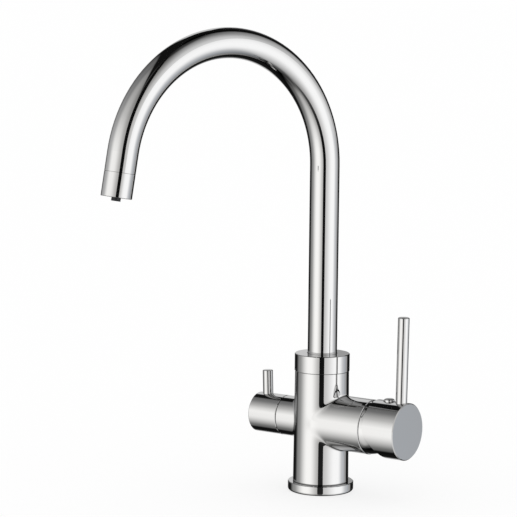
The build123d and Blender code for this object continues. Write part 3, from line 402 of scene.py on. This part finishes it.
def blendCasting(node, settings):
    mesh = node.data.copy()
    mesh.name = "polishedBodyCasting"
    casting = bmesh.new()
    casting.from_mesh(mesh)
    facing = casting.loops.layers.float_vector.new("facing")
    casting.faces.ensure_lookup_table()
    for polygon, face in zip(mesh.polygons, casting.faces):
        for corner, loop in zip(polygon.loop_indices, face.loops):
            loop[facing] = mesh.corner_normals[corner].vector
    merge = settings["mergeMm"] / 1000
    bmesh.ops.remove_doubles(casting, verts=casting.verts, dist=merge)

    def onSkin(vertex):  # on the outside of the trunk, the mixer arm or the fillet between them
        innermost, outermost = settings["skinMm"]
        return innermost < castingSkin(*(vertex.co * 1000), settings)[1] < outermost

    skin = casting.faces.layers.int.new("skin")
    outer = {vertex for vertex in casting.verts if onSkin(vertex)}
    for face in casting.faces:
        face[skin] = all(vertex in outer for vertex in face.verts)
    for axis, (low, high) in enumerate(settings["regionMm"]):
        for step in range(int((high - low) / settings["stepMm"]) + 1):
            place, across = Vector((0, 0, 0)), Vector((0, 0, 0))
            place[axis] = (low + step * settings["stepMm"]) / 1000
            across[axis] = 1
            crossed = {}  # the skin that the cut meets, each face, edge and corner once
            for face in casting.faces:
                if face[skin]:
                    ends = [vertex.co[axis] for vertex in face.verts]
                    if min(ends) < place[axis] < max(ends):
                        crossed.update(dict.fromkeys([face, *face.edges, *face.verts]))
            bmesh.ops.bisect_plane(
                casting, geom=list(crossed), dist=merge, plane_co=place, plane_no=across)
    bmesh.ops.triangulate(casting, faces=[face for face in casting.faces if face[skin]])

    outward = {}
    for vertex in {vertex for face in casting.faces if face[skin] for vertex in face.verts}:
        point = vertex.co * 1000
        if all(low <= at <= high for at, (low, high) in zip(point, settings["regionMm"])):
            for _ in range(settings["passes"]):
                distance, _, out = castingSkin(*point, settings)
                point = point - out * (distance / out.length_squared)
            vertex.co = point / 1000
            outward[vertex] = castingSkin(*point, settings)[2].normalized()
    for vertex, out in outward.items():
        for loop in vertex.link_loops:
            if loop.face[skin]:
                loop[facing] = out
    casting.to_mesh(mesh)
    casting.free()
    normals = [item.vector.copy() for item in mesh.attributes["facing"].data]
    for name in ("facing", "skin"):
        mesh.attributes.remove(mesh.attributes[name])
    mesh.normals_split_custom_set(normals)
    body = bpy.data.objects.new("polishedBodyCasting", mesh)
    bpy.context.scene.collection.objects.link(body)
    return body


bodyCasting = blendCasting(nodes["tap_body"], castingSettings)
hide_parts("tap_body")
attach(bodyCasting, "base")
print("casting:", len(bodyCasting.data.polygons), "faces")

# Turned and ground metal inside the tap. The tool leaves fine rings square to the turning axis,
# which catch the light as a silky band; where the rings sink, the colour is painted darker as
# painted shade in the grooves. Real rings are nearer 0.1 mm, drawn here as wide as shows.
turnedBrass = {
    "colour": "E2C27C", "groove": "C9A660",
    "ringMm": 0.35, "ringHeightMm": 0.006,
    "tarnishMm": 6.0, "smooth": 0.20, "rough": 0.36,
}
groundSteel = {
    "colour": "C9CACC", "groove": "A9AAAD",
    "ringMm": 0.2, "ringHeightMm": 0.003,
    "tarnishMm": 4.0, "smooth": 0.22, "rough": 0.34,
}
outletDirection = (-0.0505, -0.1661, -0.9848)  # the way the water leaves, 10 degrees off plumb
noiseLow, noiseHigh = 0.3, 0.7                 # nearly all of a noise pattern lies between these


def makeTurned(name, settings, direction):
    material, tree = newMaterial(name)
    place = addNode(tree, "ShaderNodeTexCoord")
    along = addNode(tree, "ShaderNodeVectorMath", {"operation": "DOT_PRODUCT"}, {
        0: place.outputs["Object"], 1: direction})
    rings = addNode(tree, "ShaderNodeTexNoise", {"noise_dimensions": "1D"}, {
        "W": along.outputs["Value"], "Scale": perMetre(settings["ringMm"]), "Detail": 2.0})
    tarnish = addNode(tree, "ShaderNodeTexNoise", inputs={
        "Vector": place.outputs["Object"], "Scale": perMetre(settings["tarnishMm"]),
        "Detail": 4.0})
    # painted shade: the colour turns to the darker tone wherever the rings sink, in the grooves
    tint = addNode(tree, "ShaderNodeMix", {"data_type": "RGBA"}, {
        "Factor": rings.outputs[0],
        6: hexColour(settings["groove"]), 7: hexColour(settings["colour"])})
    gloss = addNode(tree, "ShaderNodeMapRange", inputs={
        "Value": tarnish.outputs[0], "From Min": noiseLow, "From Max": noiseHigh,
        "To Min": settings["smooth"], "To Max": settings["rough"]})
    bump = addNode(tree, "ShaderNodeBump", inputs={
        "Height": rings.outputs[0], "Strength": 1.0,
        "Distance": settings["ringHeightMm"] / 1000})
    shader = addNode(tree, "ShaderNodeBsdfPrincipled", inputs={
        "Base Color": tint.outputs[2], "Metallic": 1.0,
        "Roughness": gloss.outputs[0], "Normal": bump.outputs[0]})
    addNode(tree, "ShaderNodeOutputMaterial", inputs={"Surface": shader.outputs[0]})
    return material


for finish, settings, direction, names in (
        ("turnedBrassAlongArms", turnedBrass, (1, 0, 0), [
            "mixer_cartridge_nut", "mixer_stem", "filter_headwork", "filter_spindle"]),
        ("turnedBrassUpright", turnedBrass, (0, 0, 1), ["spout_nipple", "filtered_ferrule"]),
        ("turnedBrassAtOutlet", turnedBrass, outletDirection, ["outlet_adapter"]),
        ("stainlessScrewSteel", groundSteel, (0, 0, 1), ["lever_grub_screw", "knob_grub_screw"]),
        ("groundPinSteel", groundSteel, (0, 1, 0), ["mixer_pivot_pin"]),
        ("stampedSpringSteel", groundSteel, (1, 0, 0), ["filter_circlip"])):
    dress(names, makeTurned(finish, settings, direction))
print("finish: brass and steel ready")

# Moulded pieces: a slow cloudiness in the colour, and the fine grain of the mould
nitrileRubber = {  # pressed seals and gaskets: near black, dull, with a dusty bloom
    "colour": "19191A", "cloud": "29292A", "cloudMm": 5.0,
    "grainMm": 0.35, "grainHeightMm": 0.010, "smooth": 0.52, "rough": 0.74, "ior": 1.52,
}
whiteAcetal = {  # slip rings, a waxy plastic that slides
    "colour": "ECEBE4", "cloud": "F4F4EF", "cloudMm": 7.0,
    "grainMm": 0.5, "grainHeightMm": 0.004, "smooth": 0.30, "rough": 0.44, "ior": 1.48,
}
cartridgeAcetal = {  # injection moulded housing with faint flow marks
    "colour": "D6D8D3", "cloud": "E3E4E0", "cloudMm": 4.0,
    "grainMm": 0.45, "grainHeightMm": 0.006, "smooth": 0.32, "rough": 0.50, "ior": 1.48,
}
greyAcetal = {  # moving carrier and swivel, glass filled, a shade darker and duller
    "colour": "A9ABAA", "cloud": "B9BBBA", "cloudMm": 3.0,
    "grainMm": 0.4, "grainHeightMm": 0.008, "smooth": 0.40, "rough": 0.58, "ior": 1.50,
}
aluminaCeramic = {  # lapped discs: dense, off white, nearly polished
    "colour": "F0EDE6", "cloud": "F6F4F0", "cloudMm": 2.5,
    "grainMm": 0.3, "grainHeightMm": 0.001, "smooth": 0.10, "rough": 0.20, "ior": 1.76,
}
polyethylene = {  # drawn tube for drinking water, milky and soft
    "colour": "E9ECEE", "cloud": "F3F5F6", "cloudMm": 3.0,
    "grainMm": 0.8, "grainHeightMm": 0.006, "smooth": 0.36, "rough": 0.52, "ior": 1.51,
}
aeratorPlastic = {  # moulded mesh of the aerator, dark grey and satin
    "colour": "2C2D30", "cloud": "37383B", "cloudMm": 3.0,
    "grainMm": 0.3, "grainHeightMm": 0.006, "smooth": 0.34, "rough": 0.52, "ior": 1.50,
}
nozzlePlastic = {  # the small nozzle that shows under the outlet, almost black
    "colour": "222326", "cloud": "2E2F33", "cloudMm": 2.5,
    "grainMm": 0.3, "grainHeightMm": 0.005, "smooth": 0.30, "rough": 0.46, "ior": 1.50,
}


def makeMoulded(name, settings):
    material, tree = newMaterial(name)
    place = addNode(tree, "ShaderNodeTexCoord")
    cloud = addNode(tree, "ShaderNodeTexNoise", inputs={
        "Vector": place.outputs["Object"], "Scale": perMetre(settings["cloudMm"]), "Detail": 3.0})
    grain = addNode(tree, "ShaderNodeTexNoise", inputs={
        "Vector": place.outputs["Object"], "Scale": perMetre(settings["grainMm"]), "Detail": 2.0})
    tint = addNode(tree, "ShaderNodeMix", {"data_type": "RGBA"}, {
        "Factor": cloud.outputs[0],
        6: hexColour(settings["colour"]), 7: hexColour(settings["cloud"])})
    gloss = addNode(tree, "ShaderNodeMapRange", inputs={
        "Value": grain.outputs[0], "From Min": noiseLow, "From Max": noiseHigh,
        "To Min": settings["smooth"], "To Max": settings["rough"]})
    bump = addNode(tree, "ShaderNodeBump", inputs={
        "Height": grain.outputs[0], "Strength": 1.0,
        "Distance": settings["grainHeightMm"] / 1000})
    shader = addNode(tree, "ShaderNodeBsdfPrincipled", inputs={
        "Base Color": tint.outputs[2], "IOR": settings["ior"],
        "Roughness": gloss.outputs[0], "Normal": bump.outputs[0]})
    addNode(tree, "ShaderNodeOutputMaterial", inputs={"Surface": shader.outputs[0]})
    return material


for finish, settings, names in (
        ("pressedNitrileRubber", nitrileRubber, [
            "base_gasket", "mixer_port_seals", "headwork_gasket", "filter_seat_seal",
            "spout_o_rings", "filtered_o_ring", "outlet_gasket"]),
        ("whiteAcetal", whiteAcetal, ["lower_slip_ring", "upper_slip_ring"]),
        ("cartridgeAcetal", cartridgeAcetal, ["mixer_cartridge_base", "mixer_cartridge_shell"]),
        ("greyFilledAcetal", greyAcetal, ["mixer_swivel", "mixer_disc_carrier"]),
        ("lappedAlumina", aluminaCeramic, [
            "mixer_fixed_disc", "mixer_moving_disc", "filter_fixed_disc", "filter_moving_disc"]),
        ("milkyPolyethylene", polyethylene, ["filtered_tube"]),
        ("darkAeratorPlastic", aeratorPlastic, ["aerator_insert"]),
        ("blackNozzlePlastic", nozzlePlastic, ["filtered_nozzle"])):
    dress(names, makeMoulded(finish, settings))
print("finish: rubber, plastic and ceramic ready")

print("scene: done")
